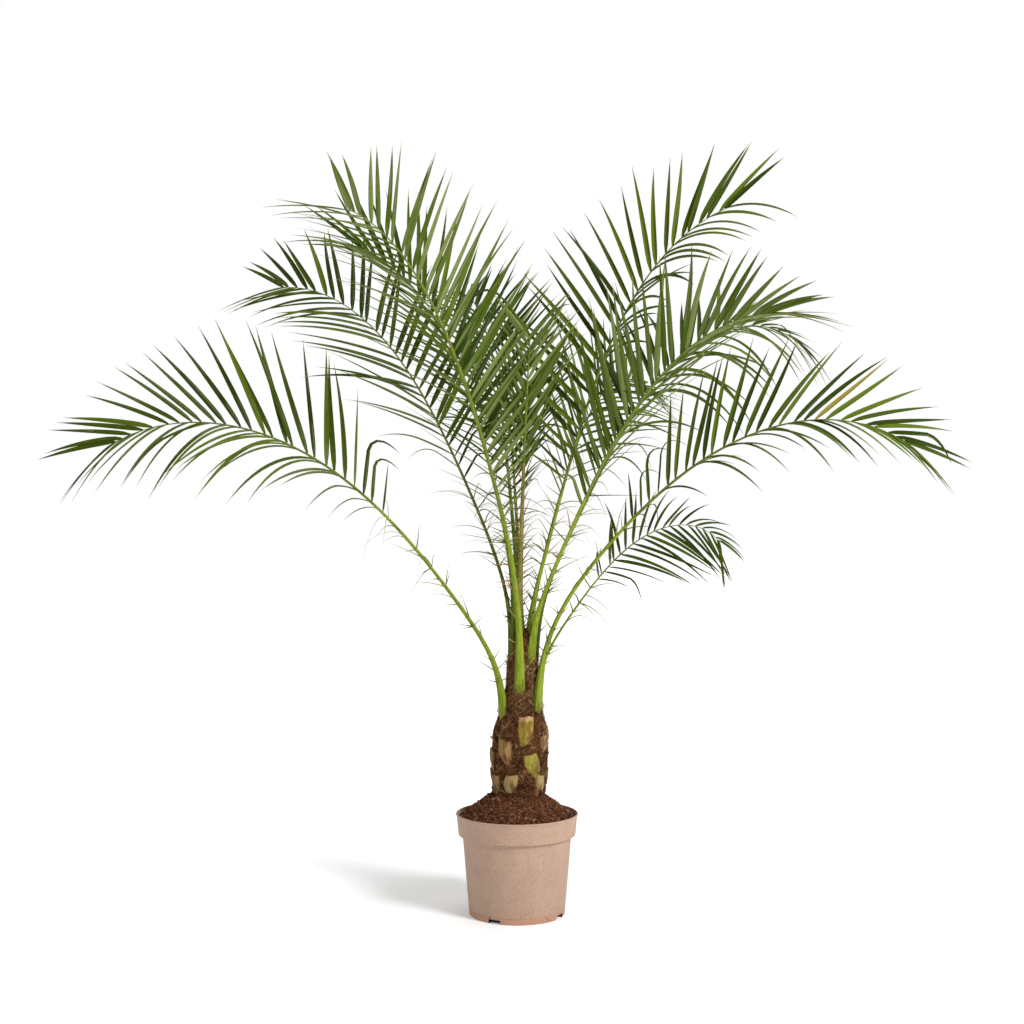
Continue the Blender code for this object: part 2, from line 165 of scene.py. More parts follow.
# Grain: soft patches between a low and a high level of noise.
grain, given, mask = effect("grain", {"Scale": 100, "Low": 0.4, "High": 0.6})
patches = put(grain, "ShaderNodeTexNoise", {"Vector": given["Vector"], "Scale": given["Scale"], "Detail": 4})
grain.links.new(ramp(grain, patches.outputs["Fac"], given["Low"], given["High"]), mask)

# Flecks: round specks in a share of the cells of a Voronoi pattern.
flecks, given, mask = effect("flecks", {"Scale": 400, "Size": 0.3, "Share": 0.2})
cells = put(flecks, "ShaderNodeTexVoronoi", {"Vector": given["Vector"], "Scale": given["Scale"]})
near = put(flecks, "ShaderNodeMath", {0: cells.outputs["Distance"], 1: given["Size"]}, operation="LESS_THAN")
colour = put(flecks, "ShaderNodeSeparateColor", {"Color": cells.outputs["Color"]})
chosen = put(flecks, "ShaderNodeMath", {0: colour.outputs["Red"], 1: given["Share"]}, operation="LESS_THAN")
flecks.links.new(times(flecks, near.outputs[0], chosen.outputs[0]), mask)


def grouped(tree, group, vector, **values):
    """The Mask of one of the shared effects, placed with its own values."""
    node = put(tree, "ShaderNodeGroup", node_tree=group)
    tree.links.new(vector, node.inputs["Vector"])
    for label, value in values.items():
        node.inputs[label.title()].default_value = value
    return node.outputs["Mask"]


def mixed(tree, factor, one, other):
    """A colour between two colours, each a socket or a plain colour."""
    inputs = {0: factor}
    for key, value in ((6, one), (7, other)):
        inputs[key] = value if isinstance(value, bpy.types.NodeSocket) else (*value, 1)
    return put(tree, "ShaderNodeMix", inputs, data_type="RGBA").outputs[2]


def bare_material(name, stretch=(1, 1, 1), source="Object", gloss=0.5):
    """A material's tree, its Principled BSDF, and the coordinates that its patterns read."""
    made = bpy.data.materials.new(name)
    made.use_nodes = True
    tree = made.node_tree
    place = put(tree, "ShaderNodeTexCoord")
    spread = put(tree, "ShaderNodeMapping", {"Vector": place.outputs[source], "Scale": stretch})
    shader = tree.nodes["Principled BSDF"]
    shader.inputs["Specular IOR Level"].default_value = gloss
    return made, tree, shader, spread.outputs["Vector"]


def finished(tree, shader, colour, height, roughness, strength, distance):
    """Wires a colour, and a height that makes bump and moves the roughness between two values."""
    tree.links.new(colour, shader.inputs["Base Color"])
    tree.links.new(ramp(tree, height, 0.0, 1.0, *roughness), shader.inputs["Roughness"])
    relief = put(tree, "ShaderNodeBump", {"Height": height, "Strength": strength, "Distance": distance})
    tree.links.new(relief.outputs["Normal"], shader.inputs["Normal"])


def plastic(name, base, light, dark, foot_dirt):
    """Recycled plastic with pale and dark specks, and a little soil on it near the foot."""
    made, tree, shader, vector = bare_material(name)
    cloud = grouped(tree, grain, vector, scale=38, low=0.35, high=0.68)
    fine = grouped(tree, grain, vector, scale=620, low=0.38, high=0.66)
    pale = grouped(tree, flecks, vector, scale=560, size=0.36, share=0.30)
    black = grouped(tree, flecks, vector, scale=470, size=0.30, share=0.22)
    shade = mixed(tree, fine, base, light)
    shade = mixed(tree, times(tree, cloud, 0.35), shade, tuple(0.86 * part for part in base))
    shade = mixed(tree, times(tree, pale, 0.55), shade, light)
    shade = mixed(tree, times(tree, black, 0.55), shade, dark)
    height = put(tree, "ShaderNodeSeparateXYZ", {"Vector": vector}).outputs["Z"]
    low = ramp(tree, height, foot_dirt, 0.002)
    dust = grouped(tree, grain, vector, scale=150, low=0.60, high=0.72)
    shade = mixed(tree, times(tree, low, dust), shade, (0.16, 0.075, 0.04))
    finished(tree, shader, shade, fine, (0.52, 0.66), 0.22, 0.0004)
    return made


pot = turned("nursery_pot", pot_profile, 144)
for azimuth in notch_azimuths:
    bpy.ops.object.select_all(action="DESELECT")
    angle = math.radians(azimuth)
    place = (foot_radius * math.cos(angle), foot_radius * math.sin(angle), 0)
    bpy.ops.mesh.primitive_cube_add(size=1, location=place)
    notch = bpy.context.object
    notch.dimensions = notch_size
    notch.rotation_euler.z = angle
    applied(pot, "BOOLEAN", object=notch, solver="EXACT")
    bpy.data.objects.remove(notch)
applied(pot, "BEVEL", width=0.0005, segments=2, limit_method="ANGLE", angle_limit=math.radians(28))
pot.select_set(True)
bpy.ops.object.shade_smooth_by_angle(angle=math.radians(32))
dark_speck = (0.15, 0.085, 0.055)
for surface in (
    plastic("pot plastic", (0.355, 0.222, 0.150), (0.49, 0.328, 0.240), dark_speck, 0.030),
    plastic("foot ring plastic", (0.40, 0.205, 0.120), (0.50, 0.290, 0.185), dark_speck, 0.020),
    plastic("notch painted shade", (0.012, 0.008, 0.006), (0.020, 0.012, 0.009), (0.006, 0.004, 0.003), 0.001),
):
    pot.data.materials.append(surface)
# Faces inside the notches take the near-black third material: painted shade filling the recesses.
for face in pot.data.polygons:
    inside = math.hypot(*face.center.xy) < foot_radius - 0.0006
    in_notch = face.center.z < notch_size[2] / 2 + 0.0004 and face.normal.z > -0.7
    face.material_index = 2 if inside and in_notch else int(face.center.z < foot_ring)
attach(pot, "root")
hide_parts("pot")

# Potting soil
# Loose dark peat, heaped up to the trunk's foot and level with the rim at its edge. Crumbs and pale chips lie
# on it.
soil_edge = (0.1000, 0.1655)
mound = (
    (0.0950, 0.1690),
    (0.0885, 0.1728),
    (0.0740, 0.1830),
    (0.0560, 0.1970),
    (0.0470, 0.2045),
    (0.0200, 0.2060),
)
soil_rings = 46
lump_height = 0.0022
lump_size = 0.014


def between(stops, value):
    """The second value of the stops at a first value, in a straight line from stop to stop."""
    ordered = sorted(stops)
    return float(np.interp(value, [stop[0] for stop in ordered], [stop[1] for stop in ordered]))


def rough(point, size, seed, octaves=4):
    """Noise of about -1 to 1 at a point, with lumps of this size."""
    return noise.fractal(Vector(point) / size + Vector((seed, 2 * seed, -seed)), 0.8, 2.1, octaves)


soil_profile = [(0.0880, 0.125), soil_edge]
for ring in range(1, soil_rings + 1):
    radius = soil_edge[0] + (0.020 - soil_edge[0]) * ring / soil_rings
    soil_profile.append((radius, between((soil_edge, *mound), radius)))
soil = turned("potting_soil", soil_profile, 180)
for vertex in soil.data.vertices:
    radius = math.hypot(vertex.co.x, vertex.co.y)
    loose = min(1.0, max(0.0, (0.1010 - radius) / 0.004)) if vertex.co.z > 0.15 else 0.0
    lumps = lump_height * rough(vertex.co, lump_size, 3) + 0.0012 * abs(rough(vertex.co, 0.0045, 5))
    vertex.co.z += loose * lumps
for face in soil.data.polygons:
    face.use_smooth = True


def earth(name, dark, brown, chip, scale):
    """Damp crumbly peat or a chip of it."""
    made, tree, shader, vector = bare_material(name, gloss=0.08)
    clod = grouped(tree, grain, vector, scale=scale, low=0.36, high=0.64)
    fine = grouped(tree, grain, vector, scale=scale * 5, low=0.40, high=0.62)
    bits = grouped(tree, flecks, vector, scale=scale * 2.4, size=0.34, share=0.10)
    shade = mixed(tree, clod, dark, brown)
    shade = mixed(tree, times(tree, bits, 0.6), shade, chip)
    finished(tree, shader, shade, fine, (0.80, 0.96), 0.8, 0.0012)
    return made


peat = earth("damp peat", (0.024, 0.009, 0.004), (0.215, 0.080, 0.034), (0.42, 0.22, 0.115), 200)
soil.data.materials.append(peat)
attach(soil, "root")
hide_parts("soil")


def joined(name, points, faces, tints, materials, smooth_angle=0, across_along=None):
    """One object from lists of points, faces and material numbers, with a UV map where places are given."""
    mesh = bpy.data.meshes.new(name)
    mesh.from_pydata(points, [], faces)
    mesh.polygons.foreach_set("material_index", tints)
    for surface in materials:
        mesh.materials.append(surface)
    if across_along:
        corners = np.empty(len(mesh.loops), dtype=np.int32)
        mesh.loops.foreach_get("vertex_index", corners)
        layer = mesh.uv_layers.new(name="across and along")
        layer.data.foreach_set("uv", np.array(across_along, dtype=np.float32)[corners].ravel())
    work = bmesh.new()
    work.from_mesh(mesh)
    bmesh.ops.recalc_face_normals(work, faces=work.faces)
    work.to_mesh(mesh)
    work.free()
    mesh.polygons.foreach_set("use_smooth", [smooth_angle > 0] * len(faces))
    if smooth_angle:
        mesh.set_sharp_from_angle(angle=math.radians(smooth_angle))
    made = bpy.data.objects.new(name, mesh)
    bpy.context.scene.collection.objects.link(made)
    return made


# Crumbs: one small faceted lump, copied with its corners pushed about. The last kind is a flat chip.
crumb_count = 2600
chip_kind = 3
chance = random.Random(11)
bpy.ops.object.select_all(action="DESELECT")
bpy.ops.mesh.primitive_ico_sphere_add(subdivisions=1, radius=1)
lump = bpy.context.object
lump_points = [vertex.co.copy() for vertex in lump.data.vertices]
lump_faces = [tuple(face.vertices) for face in lump.data.polygons]
bpy.data.objects.remove(lump)
points, faces, tints = [], [], []
for _ in range(crumb_count):
    angle = chance.uniform(0, math.tau)
    radius = math.sqrt(chance.uniform(0.046**2, 0.0985**2))
    kind = chance.choices((0, 1, 2, 3), (46, 38, 11, 5))[0]
    size = chance.uniform(0.0008, 0.0022) * (1.5 if chance.random() < 0.12 else 1)
    if kind == chip_kind:
        size *= 0.85
    middle = Vector((radius * math.cos(angle), radius * math.sin(angle), 0))
    middle.z = between((soil_edge, *mound), radius)
    middle.z += lump_height * rough(middle, lump_size, 3) + size * 0.5
    spin = chance.uniform(0, math.tau)
    axis = Vector([chance.uniform(-1, 1) for _ in range(3)]).normalized()
    turn = Matrix.Rotation(spin, 3, axis)
    shape = Vector((chance.uniform(0.8, 1.6), chance.uniform(0.6, 1.1), chance.uniform(0.35, 0.8)))
    if kind == chip_kind:
        shape = Vector((2.6, 0.8, 0.35))
    start = len(points)
    for corner in lump_points:
        moved = corner * chance.uniform(0.75, 1.2)
        moved = turn @ Vector((moved.x * shape.x, moved.y * shape.y, moved.z * shape.z))
        points.append(middle + moved * size)
    faces.extend(tuple(start + k for k in face) for face in lump_faces)
    tints.extend([kind] * len(lump_faces))
crumb_surfaces = (
    peat,
    earth("red peat", (0.140, 0.048, 0.019), (0.32, 0.128, 0.060), (0.44, 0.23, 0.125), 260),
    earth("dry peat", (0.19, 0.095, 0.055), (0.33, 0.185, 0.112), (0.44, 0.27, 0.16), 300),
    earth("pale chip", (0.36, 0.22, 0.125), (0.52, 0.35, 0.22), (0.60, 0.44, 0.30), 300),
)
crumbs = joined("soil_crumbs", points, faces, tints, crumb_surfaces)
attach(crumbs, "root")

# Trunk
# A short thick stem under a coat of brown fibre, ridged where old leaves were cut. Above it a slim sleeve of
# fibre wraps the feet of the living leaves.
trunk_foot = 0.2045
trunk_foot_x = 0.003
trunk_lean = 0.030
trunk_profile = (
    (0.2045, 0.0445),
    (0.222, 0.0425),
    (0.248, 0.0440),
    (0.276, 0.0450),
    (0.304, 0.0435),
    (0.326, 0.0400),
    (0.345, 0.0335),
    (0.366, 0.0280),
    (0.392, 0.0245),
    (0.432, 0.0225),
    (0.470, 0.0195),
    (0.486, 0.0140),
)
trunk_rings = 150
# The bark's relief: how deep its leaf scars, lumps and grit are, and the least and most that it stands out.
scar_depth = 0.0016
bark_lumps = 0.0056
bark_grit = 0.0014
bark_least = -0.0075
bark_most = 0.0045


def trunk_middle(height):
    """The trunk's axis at a height: it leans a little to +X."""
    return Vector((trunk_foot_x + trunk_lean * (height - trunk_foot), 0, height))


def trunk_surface(azimuth, height, out=0.0):
    """A point this far outside the trunk's plain surface."""
    reach = between(trunk_profile, height) + out
    return trunk_middle(height) + Vector((reach * math.cos(azimuth), reach * math.sin(azimuth), 0))


trunk_top = trunk_profile[-1][0]
trunk_low = trunk_foot - 0.004
turned_profile = []
for ring in range(trunk_rings + 1):
    height = trunk_low + (trunk_top - trunk_low) * ring / trunk_rings
    turned_profile.append((between(trunk_profile, height), height))
turned_profile.append((0.006, trunk_top + 0.004))
trunk = turned("trunk_stem", turned_profile, 132)
for vertex in trunk.data.vertices:
    height = vertex.co.z
    azimuth = math.atan2(vertex.co.y, vertex.co.x)
    radius = math.hypot(vertex.co.x, vertex.co.y)
    place = (vertex.co.x, vertex.co.y, height * 0.55)
    scars = math.sin(5 * azimuth + 95 * height) * math.sin(8 * azimuth - 70 * height)
    fade = min(1.0, max(0.25, (0.37 - height) / 0.04))
    relief = scar_depth * scars * fade + bark_lumps * rough(place, 0.011, 7) * fade
    relief += bark_grit * rough(place, 0.0035, 9)
    reach = radius + min(bark_most, max(bark_least, relief))
    middle = trunk_middle(height)
    vertex.co.x = middle.x + reach * math.cos(azimuth)
    vertex.co.y = middle.y + reach * math.sin(azimuth)
for face in trunk.data.polygons:
    face.use_smooth = True


def fibrous(name, dark, brown, pale, scale=130, bump=0.7, stretch=(1, 1, 0.35)):
    """Matted brown plant fibre, streaked along its strands."""
    made, tree, shader, vector = bare_material(name, stretch, gloss=0.05)
    clump = grouped(tree, grain, vector, scale=scale * 0.5, low=0.38, high=0.62)
    strand = grouped(tree, grain, vector, scale=scale * 4, low=0.42, high=0.60)
    shade = mixed(tree, clump, dark, brown)
    shade = mixed(tree, times(tree, strand, 0.45), shade, pale)
    finished(tree, shader, shade, strand, (0.72, 0.92), bump, 0.0015)
    return made


bark = fibrous("matted fibre", (0.012, 0.004, 0.002), (0.078, 0.029, 0.012), (0.18, 0.076, 0.034))
trunk.data.materials.append(bark)
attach(trunk, "root")
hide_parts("trunk")

# Trunk fibre
# The old leaf sheaths weather to coarse brown threads that cross each other like sacking. They stand off the
# trunk in a shaggy coat, with loose curls at its outline and a few long pale threads.
coat_strands = 4600
sleeve_strands = 2300
tuft_strands = 950
pale_threads = 110
# Threads take their colour by its number in this list.
fibre_surfaces = [
    fibrous(name, dark, brown, pale, scale=260, bump=bump, stretch=(1, 1, 0.3))
    for name, dark, brown, pale, bump in (
        ("dark fibre", (0.016, 0.006, 0.002), (0.064, 0.025, 0.009), (0.14, 0.060, 0.022), 0.3),
        ("red-brown fibre", (0.090, 0.033, 0.012), (0.23, 0.088, 0.036), (0.36, 0.165, 0.070), 0.3),
        ("dry fibre", (0.18, 0.092, 0.040), (0.32, 0.185, 0.085), (0.46, 0.30, 0.15), 0.3),
        ("pale thread", (0.42, 0.28, 0.13), (0.58, 0.43, 0.22), (0.70, 0.56, 0.33), 0.2),
    )
]
points, faces, tints = [], [], []


def strand(path, thickness, tint, tip=0.35):
    """A three-sided thread along a path, which thins to its end."""
    start = len(points)
    last = len(path) - 1
    for k, place in enumerate(path):
        ahead = (path[min(k + 1, last)] - path[max(k - 1, 0)]).normalized()
        side = ahead.cross(Vector((0.31, 0.17, 0.94))).normalized()
        up = ahead.cross(side)
        radius = thickness / 2 * (1 + (tip - 1) * k / last)
        for corner in range(3):
            angle = math.tau * corner / 3
            points.append(place + (side * math.cos(angle) + up * math.sin(angle)) * radius)
    for k in range(last):
        low = start + 3 * k
        for corner in range(3):
            after = (corner + 1) % 3
            faces.append((low + corner, low + after, low + 3 + after, low + 3 + corner))
    faces.append((start, start + 1, start + 2))
    end = start + 3 * last
    faces.append((end, end + 1, end + 2))
    tints.extend([tint] * (3 * last + 2))


def surface_strand(azimuth, height, slant, length, lift, flick, thickness, tint, steps=4):
    """A thread that lies on the trunk at a slant, bulges off it by lift and flicks out at its end."""
    path = []
    for k in range(steps + 1):
        share = k / steps
        level = min(trunk_top, max(trunk_foot + 0.0005, height + length * share * math.cos(slant)))
        reach = between(trunk_profile, level)
        turn = azimuth + length * share * math.sin(slant) / max(reach, 0.012)
        out = 0.0006 + lift * math.sin(math.pi * share) + flick * share**2
        path.append(trunk_surface(turn, level, out))
    strand(path, thickness, tint)


def fibre_piece(name):
    """The threads since the last piece, joined into one object and attached as the next piece."""
    made = joined(name, points, faces, tints, fibre_surfaces)
    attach(made, "root")
    for part in (points, faces, tints):
        part.clear()


chance = random.Random(23)
for _ in range(coat_strands):
    slant = math.radians(chance.choice((-1, 1)) * chance.uniform(12, 75))
    height = trunk_foot + (0.350 - trunk_foot) * chance.random() ** 0.9
    flick = chance.uniform(0, 0.0035) if chance.random() < 0.75 else chance.uniform(0.002, 0.007)
    length = chance.uniform(0.007, 0.026)
    tint = chance.choices((0, 1, 2, 3), (48, 40, 10, 2))[0]
    lift = chance.uniform(0.0004, 0.0034)
    surface_strand(
        chance.uniform(0, math.tau), height, slant, length, lift, flick, chance.uniform(0.0004, 0.0009), tint
    )
fibre_piece("trunk_fibre")
for _ in range(sleeve_strands):
    slant = math.radians(chance.choice((-1, 1)) * chance.uniform(4, 42))
    height = chance.uniform(0.330, 0.462)
    length = chance.uniform(0.014, 0.044)
    tint = chance.choices((0, 1, 2, 3), (48, 38, 11, 3))[0]
    lift = chance.uniform(0.0003, 0.0032)
    surface_strand(
        chance.uniform(0, math.tau), height, slant, length, lift,
        chance.uniform(0, 0.004), chance.uniform(0.0004, 0.0009), tint,
    )
for _ in range(pale_threads):
    slant = math.radians(chance.choice((-1, 1)) * chance.uniform(22, 68))
    surface_strand(
        chance.uniform(0, math.tau), chance.uniform(0.30, 0.44), slant, chance.uniform(0.022, 0.050),
        chance.uniform(0.002, 0.006), chance.uniform(0, 0.003), chance.uniform(0.0004, 0.0007), 3,
    )
# Loose curls stand out from the outline.
for _ in range(tuft_strands):
    azimuth = chance.uniform(0, math.tau)
    height = chance.choice((chance.uniform(0.215, 0.345), chance.uniform(0.335, 0.480)))
    outward = Vector((math.cos(azimuth), math.sin(azimuth), 0))
    along = Vector((-math.sin(azimuth), math.cos(azimuth), 0))
    heading = (outward * chance.uniform(0.5, 1.1) + along * chance.uniform(-0.9, 0.9)).normalized()
    heading = (heading + Vector((0, 0, chance.uniform(-0.3, 1.0)))).normalized()
    curl = Vector([chance.uniform(-1, 1) for _ in range(3)]) * chance.uniform(0.2, 0.8)
    length = chance.uniform(0.004, 0.0115) if height < 0.345 else chance.uniform(0.004, 0.013)
    place = trunk_surface(azimuth, height, -0.001)
    path = [place]
    for k in range(5):
        heading = (heading + curl * 0.35 + Vector((0, 0, -0.05))).normalized()
        path.append(path[-1] + heading * length / 5)
    strand(path, chance.uniform(0.0005, 0.0009), chance.choices((0, 1, 2), (45, 40, 15))[0])
fibre_piece("sleeve_fibre")

# Sheath flaps
# Torn scraps of the woven sheaths that curl away from the trunk between the cut leaf bases, the largest at
# its outline. The placed ones come first, and smaller ones are spread all round between them.
# Each flap: azimuth, height, width, length, how far it curls out, its lean across the trunk.
flap_places = [
    (196, 0.297, 0.015, 0.018, 0.011, 10),
    (338, 0.272, 0.014, 0.019, 0.009, -14),
    (344, 0.352, 0.008, 0.012, 0.006, 20),
    (262, 0.345, 0.014, 0.018, 0.003, 24),
    (226, 0.318, 0.015, 0.020, 0.003, -20),
    (310, 0.322, 0.012, 0.022, 0.004, 14),
    (214, 0.252, 0.012, 0.018, 0.004, 12),
    (272, 0.262, 0.014, 0.018, 0.003, -18),
    (293, 0.286, 0.013, 0.014, 0.004, 30),
    (270, 0.218, 0.012, 0.016, 0.004, 14),
    (314, 0.212, 0.012, 0.014, 0.004, -20),
]
small_flaps = 34
golden_angle = 137.5
golden_share = 0.618
chance = random.Random(31)
for k in range(small_flaps):
    azimuth = (k * golden_angle + chance.uniform(-12, 12)) % 360
    height = 0.216 + 0.150 * ((k * golden_share) % 1)
    curl = chance.uniform(0.002, 0.007)
    lean = chance.uniform(-32, 32)
    width = chance.uniform(0.007, 0.013)
    flap_places.append((azimuth, height, width, chance.uniform(0.010, 0.018), curl, lean))
bpy.ops.object.select_all(action="DESELECT")
bpy.ops.mesh.primitive_grid_add(x_subdivisions=6, y_subdivisions=9, size=1)
scrap = bpy.context.object
scrap.name = "sheath scrap"
for number, (azimuth, height, width, length, curl, lean) in enumerate(flap_places, 1):
    flap = bpy.data.objects.new("sheath_flap_%d" % number, scrap.data.copy())
    bpy.context.scene.collection.objects.link(flap)
    turn = math.radians(azimuth)
    for vertex in flap.data.vertices:
        across, along = vertex.co.x, vertex.co.y + 0.5
        ragged = 1 + 0.16 * rough((across, number, 0), 0.35, 3) * along
        level = height + length * (along * ragged - 0.5)
        side = across * width * (1 - 0.35 * along) + math.tan(math.radians(lean)) * (level - height)
        out = 0.0008 + curl * along**2.2 + 0.0012 * rough((across * 2, along * 2, number), 0.5, 5)
        reach = between(trunk_profile, level)
        vertex.co = trunk_surface(turn + side / reach, level, out - 0.003 * along * (2 * across) ** 2)
    applied(flap, "SOLIDIFY", thickness=0.0009, offset=0)
    applied(flap, "SUBSURF", levels=1, render_levels=1)
    flap.data.materials.append(fibre_surfaces[number % 2])
    for face in flap.data.polygons:
        face.use_smooth = True
    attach(flap, "root")
bpy.data.objects.remove(scrap)

# Cut leaf bases
# What is left of each old leaf after pruning: a hard shield that is set into the trunk and stands out to a
# slanting cut. Fresh ones are green with a tan cut end, older ones dry to brown and tan.
# Each base: azimuth, height of its middle, width, length, how far its cut end stands out, its finish, and how
# far it leans aside for its height.
leaf_bases = {
    "upper": (281, 0.318, 0.029, 0.052, 0.015, "olive", 0.08),
    "lower_right": (299, 0.258, 0.031, 0.046, 0.011, "green", -0.36),
    "left": (236, 0.282, 0.027, 0.044, 0.011, "brown", -0.12),
    "lower_left": (250, 0.229, 0.028, 0.032, 0.009, "tan", 0.20),
    "right": (331, 0.294, 0.025, 0.030, 0.010, "tan", 0.0),
    "foot_right": (322, 0.226, 0.024, 0.034, 0.009, "tan", -0.16),
    "foot_left": (208, 0.226, 0.024, 0.032, 0.009, "brown", 0.10),
}
back_tiers = ((0.229, (12, 62, 112, 162)), (0.264, (36, 86, 136, 186)), (0.302, (14, 64, 112, 162)))
back_size = (0.029, 0.040, 0.009)
back_finishes = ("tan", "brown", "olive", "green", "brown")
base_rows = ((-0.50, 0.42, 0.10), (0.02, 1.00, 0.85), (0.50, 0.86, 0.90))
base_sunk = 0.010


def leaf_base_skin(name, dark, main, light):
    """The smooth outer side of a leaf base, streaked lengthwise, with dried patches."""
    made, tree, shader, vector = bare_material(name, (1, 1, 0.22), gloss=0.10)
    streak = grouped(tree, grain, vector, scale=420, low=0.36, high=0.66)
    patch = grouped(tree, grain, vector, scale=110, low=0.46, high=0.62)
    shade = mixed(tree, streak, main, light)
    shade = mixed(tree, times(tree, patch, 0.85), shade, dark)
    finished(tree, shader, shade, streak, (0.42, 0.62), 0.3, 0.0006)
    return made


skin_colours = {
    "green": ("green leaf base", (0.12, 0.052, 0.016), (0.190, 0.168, 0.022), (0.31, 0.268, 0.046)),
    "olive": ("olive leaf base", (0.14, 0.062, 0.016), (0.215, 0.170, 0.017), (0.34, 0.28, 0.038)),
    "brown": ("dried leaf base", (0.07, 0.028, 0.011), (0.20, 0.105, 0.036), (0.30, 0.19, 0.060)),
    "tan": ("old leaf base", (0.10, 0.044, 0.018), (0.235, 0.155, 0.056), (0.37, 0.26, 0.105)),
}
skins = {look: leaf_base_skin(*values) for look, values in skin_colours.items()}
cut_end = leaf_base_skin("cut leaf end", (0.17, 0.075, 0.035), (0.42, 0.235, 0.120), (0.58, 0.37, 0.21))
# The sides and undersides of each base take a darker brown: painted shade round the bases.
shaded_base_side = leaf_base_skin("leaf base side shade", (0.06, 0.025, 0.012), (0.16, 0.075, 0.035), (0.30, 0.17, 0.085))

bpy.ops.object.select_all(action="DESELECT")
bpy.ops.mesh.primitive_cube_add(size=2)
shield = bpy.context.object
bpy.ops.object.mode_set(mode="EDIT")
bpy.ops.mesh.select_all(action="SELECT")
bpy.ops.mesh.subdivide(number_cuts=5)
bpy.ops.object.mode_set(mode="OBJECT")
for edge in shield.data.edges:
    edge.select = False
for vertex in shield.data.vertices:
    vertex.select = False
for face in shield.data.polygons:
    face.select = face.normal.z > 0.9
bpy.ops.object.mode_set(mode="EDIT")
bpy.ops.mesh.select_mode(type="FACE")
bpy.ops.mesh.inset(thickness=0.16, depth=-0.07)
bpy.ops.object.mode_set(mode="OBJECT")
cut_faces = {face.index for face in shield.data.polygons if face.select}
places = dict(leaf_bases)
for tier, (level, azimuths) in enumerate(back_tiers, 1):
    for number, azimuth in enumerate(azimuths, 1):
        look = back_finishes[(tier + 2 * number) % len(back_finishes)]
        lean = 0.22 * math.sin(2.7 * number + 4.1 * tier)
        places["back_%d_%d" % (tier, number)] = (azimuth, level, *back_size, look, lean)
for number, (label, (azimuth, height, width, length, standoff, look, lean)) in enumerate(places.items()):
    base = bpy.data.objects.new("cut_base_" + label, shield.data.copy())
    bpy.context.scene.collection.objects.link(base)
    for surface in (skins[look], cut_end, shaded_base_side):
        base.data.materials.append(surface)
    for face in base.data.polygons:
        # Side and underside faces, unless cut, take that darker brown as painted shade.
        edge = abs(face.normal.x) > 0.7 or face.normal.z < -0.7
        cut = face.index in cut_faces or (look == "olive" and face.center.z > 0.62)
        face.material_index = 2 if edge and not cut else int(cut)
        face.use_smooth = True
    outward = Vector((math.cos(math.radians(azimuth)), math.sin(math.radians(azimuth)), 0))
    along = Vector((0, 0, 1)).cross(outward)
    for vertex in base.data.vertices:
        across, depth, rise = vertex.co.x, -vertex.co.y, vertex.co.z / 2
        ragged = rough((across * 1.3, number, rise), 0.8, 4)
        slant = across * math.sin(number * 2.1)
        level = height + length * (rise + 0.05 * ragged * (rise + 0.5) + 0.05 * slant)
        skin = between(trunk_profile, level)
        half = width / 2 * between([row[:2] for row in base_rows], rise) * (1 + 0.07 * ragged)
        proud = standoff * between([(row[0], row[2]) for row in base_rows], rise)
        proud *= 1 - 0.75 * abs(across) ** 2.4
        proud += 0.0006 * rough((across * 3, number, rise), 0.4, 8)
        out = -base_sunk + (proud + base_sunk) * (depth + 1) / 2
        aside = across * half + lean * (level - height)
        vertex.co = trunk_middle(level) + outward * (skin + out) + along * aside
    applied(base, "SUBSURF", levels=1, render_levels=1)
    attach(base, "root")
    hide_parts("leaf_base_" + label)
bpy.data.objects.remove(shield)

# Frond ribs
# Each frond has one tough stalk that is swollen and sheathed at its foot, then thins along the blade to its
# tip. It grows up from the trunk's sleeve and bends over under its own weight.


class Frond(NamedTuple):
    """One frond's values: lengths in metres, angles in degrees, and shares of the rib's length."""

    azimuth: float
    length: float
    foot_azimuth: float
    foot_height: float
    foot_distance: float
    lean_foot: float
    lean_stalk: float
    lean_tip: float
    bend_late: float
    splay_share: float
    blade_start: float
    leaflet_size: float
    roll: float
    lift: float
    stoutness: float
    shade_and_tone: str
    spread: float
    twist: float
    droop: float
    tip_angle: float
